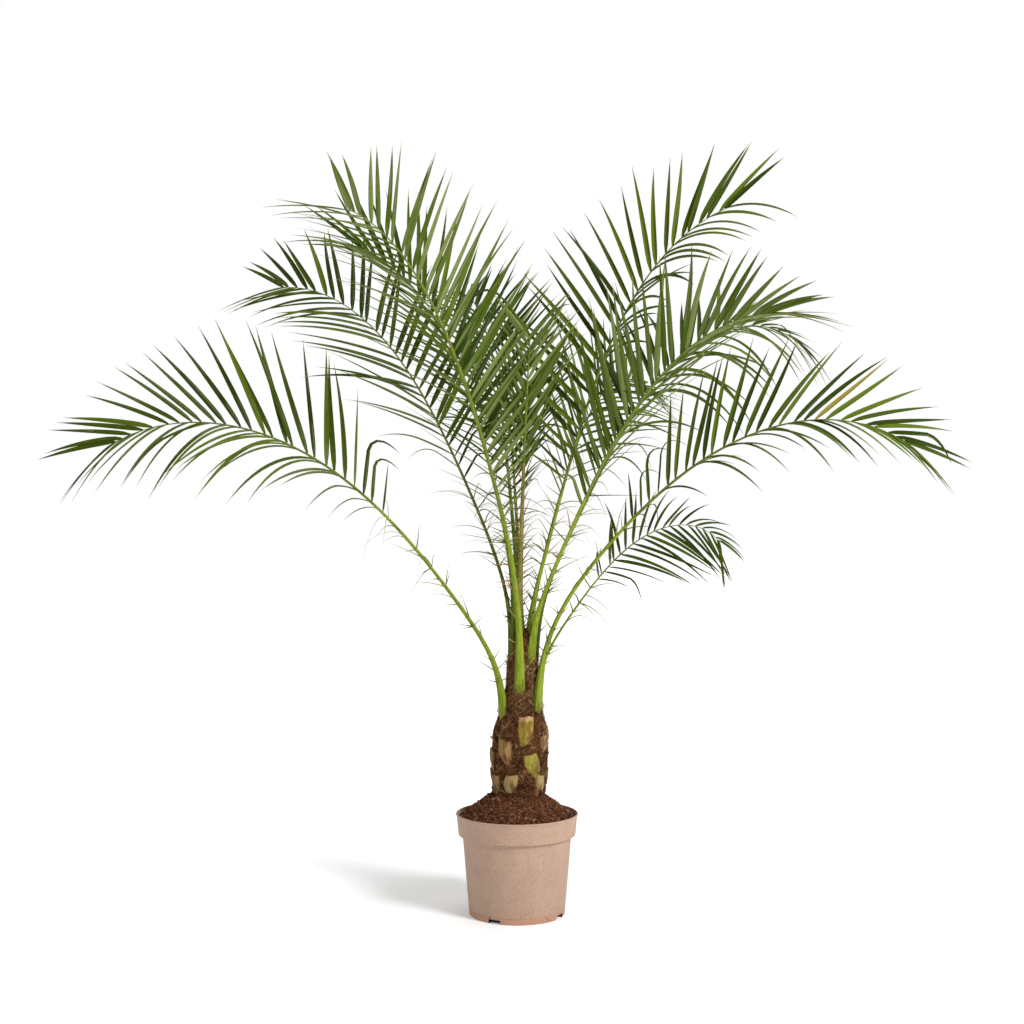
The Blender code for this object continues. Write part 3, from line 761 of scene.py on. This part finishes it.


# Each frond's rib comes first, then its blade and leaflets.
# Lit fronds take brighter stalks, leaflets and spines: painted light. Shaded fronds, mostly at the back, take darker
# ones: painted shade. The young centre frond has its own paler green.
fronds = {
    "low_left": Frond(
        187, 0.90, 205, 0.345, 0.034, 2, 34, 120, 2.6, 0.10,
        0.45, 1.00, 40, 32, 1.22, "lit", 1.0, 0, 0.60, 24,
    ),
    "low_right": Frond(
        345, 0.87, 330, 0.355, 0.031, 4, 38, 124, 3.0, 0.18,
        0.42, 0.86, -38, 36, 1.30, "lit", 1.0, 0, 0.42, 20,
    ),
    "short_right": Frond(
        10, 0.49, 5, 0.372, 0.029, 4, 35, 140, 4.0, 0.15,
        0.46, 0.66, -50, -20, 0.80, "lit", 1.0, 0, 0.30, 40,
    ),
    "upper_left_front": Frond(
        240, 0.94, 258, 0.392, 0.023, -2, 26, 85, 3.6, 0.20,
        0.30, 0.94, -26, 38, 1.30, "lit", 1.14, -42, 0.16, 26,
    ),
    "upper_left_back": Frond(
        178, 0.78, 207, 0.440, 0.020, -2, 12, 66, 4.0, 0.20,
        0.40, 1.00, 40, 34, 0.95, "shaded", 1.0, 0, 0.25, 22,
    ),
    "left_back": Frond(
        160, 0.86, 160, 0.430, 0.020, 0, 24, 90, 4.0, 0.16,
        0.38, 0.94, 44, 22, 0.95, "shaded", 1.0, 0, 0.22, 36,
    ),
    "upper_right": Frond(
        345, 0.84, 335, 0.455, 0.010, 2, 15, 68, 4.0, 0.08,
        0.34, 0.95, -52, 36, 1.10, "lit", 1.18, 0, 0.45, 20,
    ),
    "right_back": Frond(
        20, 0.86, 12, 0.430, 0.021, 4, 27, 120, 4.2, 0.14,
        0.40, 0.95, -17, 14, 0.95, "shaded", 1.0, 0, 1.00, 28,
    ),
    "right_front": Frond(
        314, 0.78, 312, 0.440, 0.021, 5, 30, 92, 3.2, 0.10,
        0.36, 0.95, 22, 38, 1.05, "lit", 0.80, 0, 0.20, 18,
    ),
    "centre": Frond(
        277, 0.53, 215, 0.470, 0.008, 0, 9, 27, 1.6, 0.10,
        0.55, 0.72, 0, 10, 1.30, "young", 0.50, 0, 0.42, 74,
    ),
    "back": Frond(
        94, 0.80, 95, 0.440, 0.021, 5, 34, 112, 3.0, 0.10,
        0.40, 0.90, 10, 30, 0.95, "shaded", 1.0, 0, 0.42, 20,
    ),
    "back_right": Frond(
        64, 0.80, 60, 0.440, 0.021, 5, 30, 104, 3.0, 0.10,
        0.38, 0.90, -40, 34, 1.00, "lit", 1.0, 0, 0.42, 20,
    ),
    "back_left": Frond(
        106, 0.78, 112, 0.450, 0.012, 2, 16, 70, 3.0, 0.10,
        0.36, 0.90, 12, 30, 1.00, "shaded", 1.0, 0, 0.30, 20,
    ),
}
rib_steps = 16
rib_fine_steps = 72
rib_sides = 12
rib_foot_radius = 0.0082
rib_stalk_radius = 0.0046
rib_tip_radius = 0.0007
# Below its foot each rib runs on into the sleeve in a few rings, which go inwards as they go down.
sunk_rings = 4
sunk_step = 0.007
sunk_inward = 0.0030


def rib_stations(frond):
    """Points, directions and upper normals along a frond's rib, from its foot to its tip."""
    azimuth = math.radians(frond.azimuth)
    outward = Vector((math.cos(azimuth), math.sin(azimuth), 0))
    foot = math.radians(frond.foot_azimuth)
    aside = Vector((math.cos(foot), math.sin(foot), 0)) * frond.foot_distance
    point = trunk_middle(frond.foot_height) + aside
    stations = []
    for k in range(rib_steps + 1):
        share = k / rib_steps
        splay = 1 - math.exp(-((share / frond.splay_share) ** 2))
        stalk = frond.lean_foot + (frond.lean_stalk - frond.lean_foot) * splay
        lean = math.radians(stalk + (frond.lean_tip - frond.lean_stalk) * share**frond.bend_late)
        tangent = outward * math.sin(lean) + Vector((0, 0, 1)) * math.cos(lean)
        normal = Vector((0, 0, 1)) * math.sin(lean) - outward * math.cos(lean)
        if stations:
            point = point + (stations[-1][1] + tangent).normalized() * frond.length / rib_steps
        stations.append((point, tangent, normal))
    return stations


def along_rib(stations, share):
    """The rib's point, direction and normal at a share of its length, on a smooth curve."""
    place = min(max(share, 0.0), 0.9999) * rib_steps
    first = int(place)
    blend = place - first
    (p0, t0, n0), (p1, t1, n1) = stations[first], stations[first + 1]
    reach = (p1 - p0).length
    square, cube = blend * blend, blend * blend * blend
    point = p0 * (2 * cube - 3 * square + 1) + t0 * reach * (cube - 2 * square + blend)
    point += p1 * (3 * square - 2 * cube) + t1 * reach * (cube - square)
    return point, t0.lerp(t1, blend).normalized(), n0.lerp(n1, blend).normalized()


def rib_radius(share, frond):
    """Half the rib's width: a swollen foot, a stalk, then a blade rib that thins to the tip."""
    swelling = (rib_foot_radius - rib_stalk_radius) * math.exp(-((share / 0.085) ** 2))
    thinning = rib_stalk_radius - (rib_stalk_radius - rib_tip_radius) * share**0.85
    return (swelling + thinning) * frond.stoutness * (0.75 + 0.25 * frond.leaflet_size)


def stalk_skin(name, dark, main, light):
    """The waxy ridged skin of a stalk."""
    made, tree, shader, vector = bare_material(name, (1, 1, 0.08), gloss=0.07)
    streak = grouped(tree, grain, vector, scale=520, low=0.34, high=0.68)
    patch = grouped(tree, grain, vector, scale=60, low=0.46, high=0.72)
    shade = mixed(tree, streak, main, light)
    shade = mixed(tree, times(tree, patch, 0.55), shade, dark)
    finished(tree, shader, shade, streak, (0.38, 0.54), 0.25, 0.0005)
    return made


stalk_surfaces = (
    stalk_skin("lit stalk", (0.066, 0.082, 0.005), (0.128, 0.182, 0.009), (0.24, 0.305, 0.030)),
    stalk_skin("shaded green stalk", (0.030, 0.038, 0.003), (0.066, 0.088, 0.006), (0.120, 0.150, 0.018)),
    stalk_skin("young brown stalk", (0.085, 0.055, 0.012), (0.17, 0.130, 0.030), (0.27, 0.22, 0.07)),
    stalk_skin("blade rib", (0.050, 0.070, 0.006), (0.098, 0.128, 0.012), (0.17, 0.205, 0.032)),
    stalk_skin("sheathed foot", (0.045, 0.025, 0.006), (0.115, 0.095, 0.014), (0.21, 0.20, 0.040)),
)
# Lit fronds take the brighter stalk, painted light, and shaded fronds the darker one, painted shade.
stalk_numbers = {"lit": 0, "shaded": 1, "young": 2}
blade_rib = 3
sheathed_foot = 4
points, faces, tints = [], [], []
rib_lines = {name: rib_stations(frond) for name, frond in fronds.items()}
for name, frond in fronds.items():
    stations = rib_lines[name]
    inward = (trunk_middle(frond.foot_height) - stations[0][0]).normalized()
    start = len(points)
    rings = sunk_rings + rib_fine_steps + 1
    for k in range(-sunk_rings, rib_fine_steps + 1):
        share = max(k, 0) / rib_fine_steps
        point, tangent, normal = along_rib(stations, share)
        if k < 0:
            point = point + tangent * sunk_step * k - inward * sunk_inward * k
        across = tangent.cross(normal)
        radius = rib_radius(share, frond) * (1 + 0.05 * max(-k, 0))
        for corner in range(rib_sides):
            angle = math.tau * corner / rib_sides
            groove = 1 - 0.20 * math.exp(-(((angle - math.pi / 2) / 0.45) ** 2))
            ridge = 1 + 0.035 * math.cos(6 * angle)
            reach = across * math.cos(angle) + normal * 0.84 * math.sin(angle)
            points.append(point + reach * radius * groove * ridge)
    for ring in range(rings - 1):
        low = start + ring * rib_sides
        tint = stalk_numbers[frond.shade_and_tone]
        if ring < sunk_rings / 2:
            tint = sheathed_foot
        elif (ring - sunk_rings) / rib_fine_steps > frond.blade_start + 0.02:
            tint = blade_rib
        for corner in range(rib_sides):
            after = (corner + 1) % rib_sides
            faces.append((low + corner, low + after, low + rib_sides + after, low + rib_sides + corner))
            tints.append(tint)
    faces.append(tuple(range(start, start + rib_sides)))
    faces.append(tuple(range(start + (rings - 1) * rib_sides, start + rings * rib_sides)))
    tints.extend((sheathed_foot, blade_rib))
ribs = joined("frond_ribs", points, faces, tints, stalk_surfaces, smooth_angle=50)
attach(ribs, "root")
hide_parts(*["frond_" + name for name in fronds])

# Torn sheath fibre clings round the foot of each stalk.
foot_threads = 110
points, faces, tints = [], [], []
chance = random.Random(41)
for name, frond in fronds.items():
    foot, tangent, normal = rib_lines[name][0]
    across = tangent.cross(normal)
    for _ in range(foot_threads):
        angle = chance.uniform(0, math.tau)
        aside = across * math.cos(angle) + normal * math.sin(angle)
        place = foot + tangent * chance.uniform(-0.026, 0.004)
        place += aside * rib_radius(0, frond) * chance.uniform(0.85, 1.12)
        heading = tangent * chance.uniform(-0.2, 1.0)
        heading = (heading + across * chance.gauss(0, 0.55) + aside * 0.14).normalized()
        bend = Vector([chance.uniform(-1, 1) for _ in range(3)]) * 0.25
        path = [place]
        for _ in range(4):
            heading = (heading + bend).normalized()
            path.append(path[-1] + heading * chance.uniform(0.0014, 0.0044))
        strand(path, chance.uniform(0.0005, 0.0011), chance.choices((0, 1, 2), (50, 38, 12))[0])
fibre_piece("foot_fibre")

# Leaflets
# Narrow stiff blades, folded lengthwise into a keel. They leave the rib about 20 mm apart in two rows, are
# longest a third of the way up the blade, and end in a dry hair. The stalk below them bears thin spines.
leaflet_spacing = 0.0200
leaflet_length_most = 0.238
leaflet_half_width = 0.0051
leaflet_thickness = 0.0006
stiff_droop = 0.10
leaflet_fold = 24
leaflet_sections = 13
angle_at_start = 53
angle_closes_late = 3.0
# The first leaflets of a blade are narrow, and many are bent over.
first_leaflets = 0.14


def leaf_skin(name, dark, main, light, roughness=(0.50, 0.66)):
    """A satin blade with fine veins and darker edges. In places one side of its fold has a pale painted sheen, a
    painted reflection.
    """
    made, tree, shader, vector = bare_material(name, (14, 0.7, 1), "UV", gloss=0.05)
    vein = grouped(tree, grain, vector, scale=2.2, low=0.30, high=0.72)
    cloud = grouped(tree, grain, vector, scale=0.45, low=0.34, high=0.70)
    shade = mixed(tree, vein, main, light)
    shade = mixed(tree, times(tree, cloud, 0.4), shade, dark)
    across = put(tree, "ShaderNodeSeparateXYZ", {"Vector": vector}).outputs["X"]
    # A pale painted sheen in patches along one side of the fold: a painted reflection.
    band = times(tree, ramp(tree, across, 6.8, 5.6), ramp(tree, across, 1.4, 3.0))
    whole = put(tree, "ShaderNodeTexCoord").outputs["Object"]
    patch = grouped(tree, grain, whole, scale=11, low=0.50, high=0.60)
    painted_sheen = times(tree, times(tree, band, patch), 0.40)
    shade = mixed(tree, painted_sheen, shade, (0.22, 0.24, 0.12))
    sides = {0: ramp(tree, across, 1.6, 0.5), 1: ramp(tree, across, 12.4, 13.5)}
    edges = put(tree, "ShaderNodeMath", sides, operation="ADD").outputs[0]
    shade = mixed(tree, times(tree, edges, 0.55), shade, dark)
    finished(tree, shader, shade, vein, roughness, 0.12, 0.0003)
    return made


# Upper sides, undersides, then yellowed and dry ones. Each leaflet takes one of these colours along each side.
dull = (0.6, 0.72)
leaf_surfaces = (
    leaf_skin("deep green leaf", (0.008, 0.016, 0.001), (0.020, 0.036, 0.002), (0.038, 0.064, 0.004)),
    leaf_skin("green leaf", (0.016, 0.030, 0.002), (0.040, 0.068, 0.003), (0.070, 0.105, 0.006)),
    leaf_skin("bright green leaf", (0.036, 0.060, 0.003), (0.074, 0.115, 0.005), (0.117, 0.165, 0.012)),
    leaf_skin("young leaf", (0.060, 0.112, 0.003), (0.120, 0.212, 0.006), (0.195, 0.310, 0.014)),
    leaf_skin("grey-green underside", (0.033, 0.050, 0.006), (0.065, 0.093, 0.014), (0.105, 0.140, 0.030), dull),
    leaf_skin("pale underside", (0.066, 0.086, 0.016), (0.115, 0.145, 0.034), (0.176, 0.208, 0.064), dull),
    leaf_skin("yellowed leaf", (0.09, 0.10, 0.008), (0.23, 0.19, 0.025), (0.34, 0.25, 0.05)),
    leaf_skin("dry leaf end", (0.14, 0.11, 0.030), (0.24, 0.19, 0.07), (0.36, 0.29, 0.13), (0.6, 0.8)),
)
yellowed = 6
dry_end = 7
# The colours of upper sides by a frond's light and tone, each with its weight: lit fronds lean to brighter colours as
# painted light, shaded ones to darker colours as painted shade. Then those of the sides that show where leaflets hang
# turned over, and those of undersides.
upper_tints = {
    "lit": ((0, 32), (1, 50), (2, 18)),
    "shaded": ((0, 55), (1, 38), (2, 7)),
    "young": ((2, 40), (3, 60)),
}
# Leaflets that hang turned over lean to paler colours: painted light.
turned_lit_tints = ((1, 35), (2, 40), (4, 25))
under_tints = ((1, 30), (4, 45), (5, 25))
points, faces, tints, across_along = [], [], [], []


def width_share(along):
    """A leaflet's width along its length: a narrow root, nearly even sides, then a long taper to a hair."""
    rise = 0.38 + 0.62 * math.sin(math.pi / 2 * min(along / 0.14, 1))
    fall = 1 - max(0.0, (along - 0.22) / 0.78) ** 1.75
    return max(0.04, rise * fall)


def leaflet(root, heading, face, length, half_width, droop, twist, curl, upper, under, hook, dry_from):
    """A folded blade from its root: it droops, twists and curls, and may be bent over near its end."""
    start = len(points)
    aside = heading.cross(face).normalized()
    place = root.copy()
    went = heading.copy()
    turned_by = 0.0
    for k in range(leaflet_sections):
        along = k / (leaflet_sections - 1)
        step = length / (leaflet_sections - 1)
        sag = Vector((0, 0, -1)) * droop * 2 * along * (1 - abs(heading.z) * 0.6)
        went = (heading + sag + aside * curl * along**1.5).normalized()
        if hook and along > 0.55:
            turned_by += hook / 3
            went = (went + aside * turned_by * 0.6 + Vector((0, 0, -1)) * turned_by).normalized()
        if k:
            place = place + went * step
        breadth = went.cross(face).normalized()
        keel = breadth.cross(went).normalized()
        spin = Matrix.Rotation(twist * (0.35 + 0.65 * along), 3, went)
        breadth, keel = spin @ breadth, spin @ keel
        if keel.dot(spin @ face) > 0:
            keel = -keel
        half = half_width * width_share(along)
        fold = math.radians(leaflet_fold * (1.25 - 0.75 * along))
        out = breadth * half * math.cos(fold)
        up = -keel * half * math.sin(fold)
        thick = leaflet_thickness * (0.35 + 0.65 * width_share(along)) / 2
        points.extend((place + out + up, place - keel * thick, place - out + up, place + keel * thick))
        across_along.extend((side, along * length * 5) for side in (0.0, 0.5, 1.0, 0.5))
    for k in range(leaflet_sections - 1):
        low = start + 4 * k
        dry = (k + 0.5) / (leaflet_sections - 1) > dry_from
        for corner in range(4):
            after = (corner + 1) % 4
            faces.append((low + corner, low + after, low + 4 + after, low + 4 + corner))
            tints.append(dry_end if dry else upper if corner < 2 else under)
    faces.append((start, start + 1, start + 2, start + 3))
    end = start + 4 * (leaflet_sections - 1)
    faces.append((end, end + 1, end + 2, end + 3))
    tints.extend((under, dry_end))


def leaflet_length(place, size):
    """Leaflets are longest a third of the way along the blade."""
    rise = 0.34 + 0.66 * math.sin(math.pi / 2 * min(place / 0.32, 1))
    fall = 1 - 0.40 * max(0.0, (place - 0.34) / 0.66) ** 1.3
    return leaflet_length_most * size * rise * fall


def picked(weighted):
    """One of these numbers by chance, each with its weight."""
    numbers, weights = zip(*weighted)
    return chance.choices(numbers, weights)[0]


chance = random.Random(5)
for name, frond in fronds.items():
    stations = rib_lines[name]
    spacing = leaflet_spacing * (0.4 + 0.6 * frond.length / 0.9)
    if frond.shade_and_tone == "young":
        spacing *= 0.95
    count = round(frond.length * (1 - frond.blade_start) / spacing)
    for k in range(count + 1):
        for side in (-1, 1):
            paired = (0.10 if k % 2 else -0.10) * side
            place = min(1.0, (k + 0.5 + paired + chance.uniform(-0.17, 0.17)) / count)
            share = frond.blade_start + (1 - frond.blade_start) * place
            point, tangent, normal = along_rib(stations, share)
            turn = Matrix.Rotation(math.radians(-frond.roll), 3, tangent)
            across = turn @ tangent.cross(normal).normalized()
            face = turn @ normal.normalized()
            turned_down = side * frond.roll < 0 < frond.lift
            if turned_down and chance.random() < (0.35 if place < 0.3 else 0.10):
                continue
            angle = angle_at_start + (frond.tip_angle - angle_at_start) * place**angle_closes_late
            angle *= frond.spread * (0.90 if turned_down else 1.0)
            angle = math.radians(angle + chance.gauss(0, 2.4))
            lift = math.radians(frond.lift * (1 - 0.4 * place) + chance.gauss(0, 4.0))
            aside = across * side * math.cos(lift) + face * math.sin(lift)
            own_face = face * math.cos(lift) - across * side * math.sin(lift)
            heading = (tangent * math.cos(angle) + aside * math.sin(angle)).normalized()
            length = leaflet_length(place, frond.leaflet_size) * chance.uniform(0.90, 1.02)
            twist = math.radians(frond.twist * side * turned_down + chance.gauss(0, 10))
            soft = turned_down or frond.lift < 0
            droop = (frond.droop if soft else stiff_droop) * chance.uniform(0.6, 1.35)
            upper = picked(upper_tints[frond.shade_and_tone])
            # Turned-down leaflets take paler colours here: painted light.
            if turned_down:
                upper = picked(turned_lit_tints)
            if name == "low_right" and side < 0 and 0.690 < place < 0.712:
                upper = yellowed
            under = picked(under_tints)
            half = leaflet_half_width * (0.60 + 0.40 * frond.leaflet_size) * chance.uniform(0.85, 1.08)
            if turned_down:
                half *= min(1.0, 0.60 + 0.9 * place) * chance.uniform(0.80, 1.0)
            if place < first_leaflets:
                half *= chance.uniform(0.45, 0.8)
            if frond.lift < 0 or frond.shade_and_tone == "young":
                half *= 0.74
            bent = chance.random() < (0.40 if place < first_leaflets else 0.014)
            hook = chance.uniform(0.4, 1.0) if bent else 0.0
            root = point + aside * rib_radius(share, frond) * 0.45
            curl = chance.gauss(0, 0.07)
            dry = chance.uniform(0.90, 0.97)
            leaflet(root, heading, own_face, length, half, droop, twist, curl, upper, under, hook, dry)
leaflets = joined("frond_leaflets", points, faces, tints, leaf_surfaces, 24, across_along)
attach(leaflets, "root")

# Spines
# Below the blade the leaflets give way to hard thin spines, singly and in twos on both edges of the stalk.
# They grow longer and softer towards the blade.
spine_spacing = 0.021
spine_start = 0.045
spine_surfaces = (
    stalk_skin("green spine", (0.05, 0.065, 0.006), (0.11, 0.135, 0.014), (0.19, 0.215, 0.040)),
    stalk_skin("dry spine", (0.12, 0.075, 0.024), (0.25, 0.175, 0.065), (0.40, 0.305, 0.135)),
    stalk_skin("dark spine", (0.022, 0.028, 0.003), (0.048, 0.058, 0.007), (0.085, 0.098, 0.016)),
    stalk_skin("dry hair", (0.16, 0.11, 0.04), (0.28, 0.21, 0.10), (0.42, 0.34, 0.19)),
)
dry_hair = 3
# Spines on shaded fronds are more often dark: painted shade.
spine_tints = {"lit": ((0, 34), (1, 46), (2, 20)), "shaded": ((0, 18), (1, 28), (2, 54))}
points, faces, tints = [], [], []
chance = random.Random(17)
for name, frond in fronds.items():
    stations = rib_lines[name]
    first = spine_start / frond.length
    count = round((frond.blade_start - first) * frond.length / spine_spacing)
    for k in range(count):
        near = (k + chance.uniform(0.2, 0.8)) / count
        share = first + (frond.blade_start - first) * near
        point, tangent, normal = along_rib(stations, share)
        turn = Matrix.Rotation(math.radians(-frond.roll), 3, tangent)
        across = turn @ tangent.cross(normal).normalized()
        face = turn @ normal.normalized()
        for side in (-1, 1):
            if chance.random() < 0.30:
                continue
            for _ in range(chance.choices((1, 2), (62, 38))[0]):
                angle = math.radians(chance.uniform(24, 82) * (0.5 + 0.5 * frond.spread))
                lift = math.radians(chance.uniform(-30, 50))
                aside = across * side * math.cos(lift) + face * math.sin(lift)
                heading = (tangent * math.cos(angle) + aside * math.sin(angle)).normalized()
                length = chance.uniform(0.020, 0.042)
                bow = Vector((0, 0, -1)) * chance.uniform(0.0, 0.12) + tangent * chance.uniform(-0.15, 0.15)
                tint = picked(spine_tints["lit" if frond.shade_and_tone == "lit" else "shaded"])
                thickness = chance.uniform(0.0020, 0.0030)
                if near > 0.40 and chance.random() < 0.15 + 0.7 * near:
                    length = chance.uniform(0.030, 0.055) + 0.050 * near * chance.random()
                    bow = Vector((0, 0, -1)) * chance.uniform(0.2, 0.9) + tangent * chance.uniform(-0.1, 0.4)
                    thickness = chance.uniform(0.0017, 0.0032)
                    if chance.random() < 0.30:
                        tint = dry_hair
                        length *= 1.4
                        thickness = 0.0015
                root = point + aside * rib_radius(share, frond) * 0.8
                path = [root + heading * length * s / 6 + bow * length * (s / 6) ** 2 for s in range(7)]
                strand(path, thickness, tint, 0.12)
spines = joined("stalk_spines", points, faces, tints, spine_surfaces)
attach(spines, "root")

# Floor and light
# A white studio floor that runs back into a white background, a soft light from the right front, a large weak one
# from the left and one from above. The floor also glows with painted light, least near the pot.
bpy.ops.object.select_all(action="DESELECT")
bpy.ops.mesh.primitive_plane_add(size=40)
floor = bpy.context.object
floor.name = "studio_floor"
white = bpy.data.materials.new("white floor with painted glow")
white.use_nodes = True
paint = white.node_tree.nodes["Principled BSDF"]
paint.inputs["Base Color"].default_value = (0.92, 0.92, 0.92, 1)
paint.inputs["Roughness"].default_value = 0.85
paint.inputs["Specular IOR Level"].default_value = 0.1
paint.inputs["Emission Strength"].default_value = 1.0
# The floor glows, least near the pot and most far off: painted light that keeps the far floor white.
spot = put(white.node_tree, "ShaderNodeTexCoord").outputs["Object"]
reach = put(white.node_tree, "ShaderNodeVectorMath", {0: spot}, operation="LENGTH").outputs["Value"]
brightness = ramp(white.node_tree, reach, 0.25, 1.8, 0.22, 0.92)
painted_floor_glow = mixed(white.node_tree, brightness, (0, 0, 0), (1, 1, 1))
white.node_tree.links.new(painted_floor_glow, paint.inputs["Emission Color"])
floor.data.materials.append(white)

world = bpy.data.worlds.new("white studio")
world.use_nodes = True
backdrop = world.node_tree.nodes["Background"]
backdrop.inputs["Color"].default_value = (1, 1, 1, 1)
seen = put(world.node_tree, "ShaderNodeLightPath").outputs["Is Camera Ray"]
brightness = ramp(world.node_tree, seen, 0.0, 1.0, 0.32, 1.0)
world.node_tree.links.new(brightness, backdrop.inputs["Strength"])
bpy.context.scene.world = world

# Each light: place, size, power, and the point that it faces.
for label, place, size, power, target in (
    ("key light", (2.3, -2.3, 2.5), 1.2, 136, (0, 0, 0.7)),
    ("fill light", (-2.6, -2.2, 1.6), 2.2, 8, (0, 0, 0.6)),
    ("top light", (0.3, 0.6, 3.2), 2.0, 30, (0, 0, 0.8)),
):
    lamp = bpy.data.lights.new(label, "AREA")
    lamp.shape = "DISK"
    lamp.size = size
    lamp.energy = power
    shining = bpy.data.objects.new(label, lamp)
    shining.location = place
    shining.rotation_euler = (Vector(target) - Vector(place)).to_track_quat("-Z", "Y").to_euler()
    bpy.context.scene.collection.objects.link(shining)
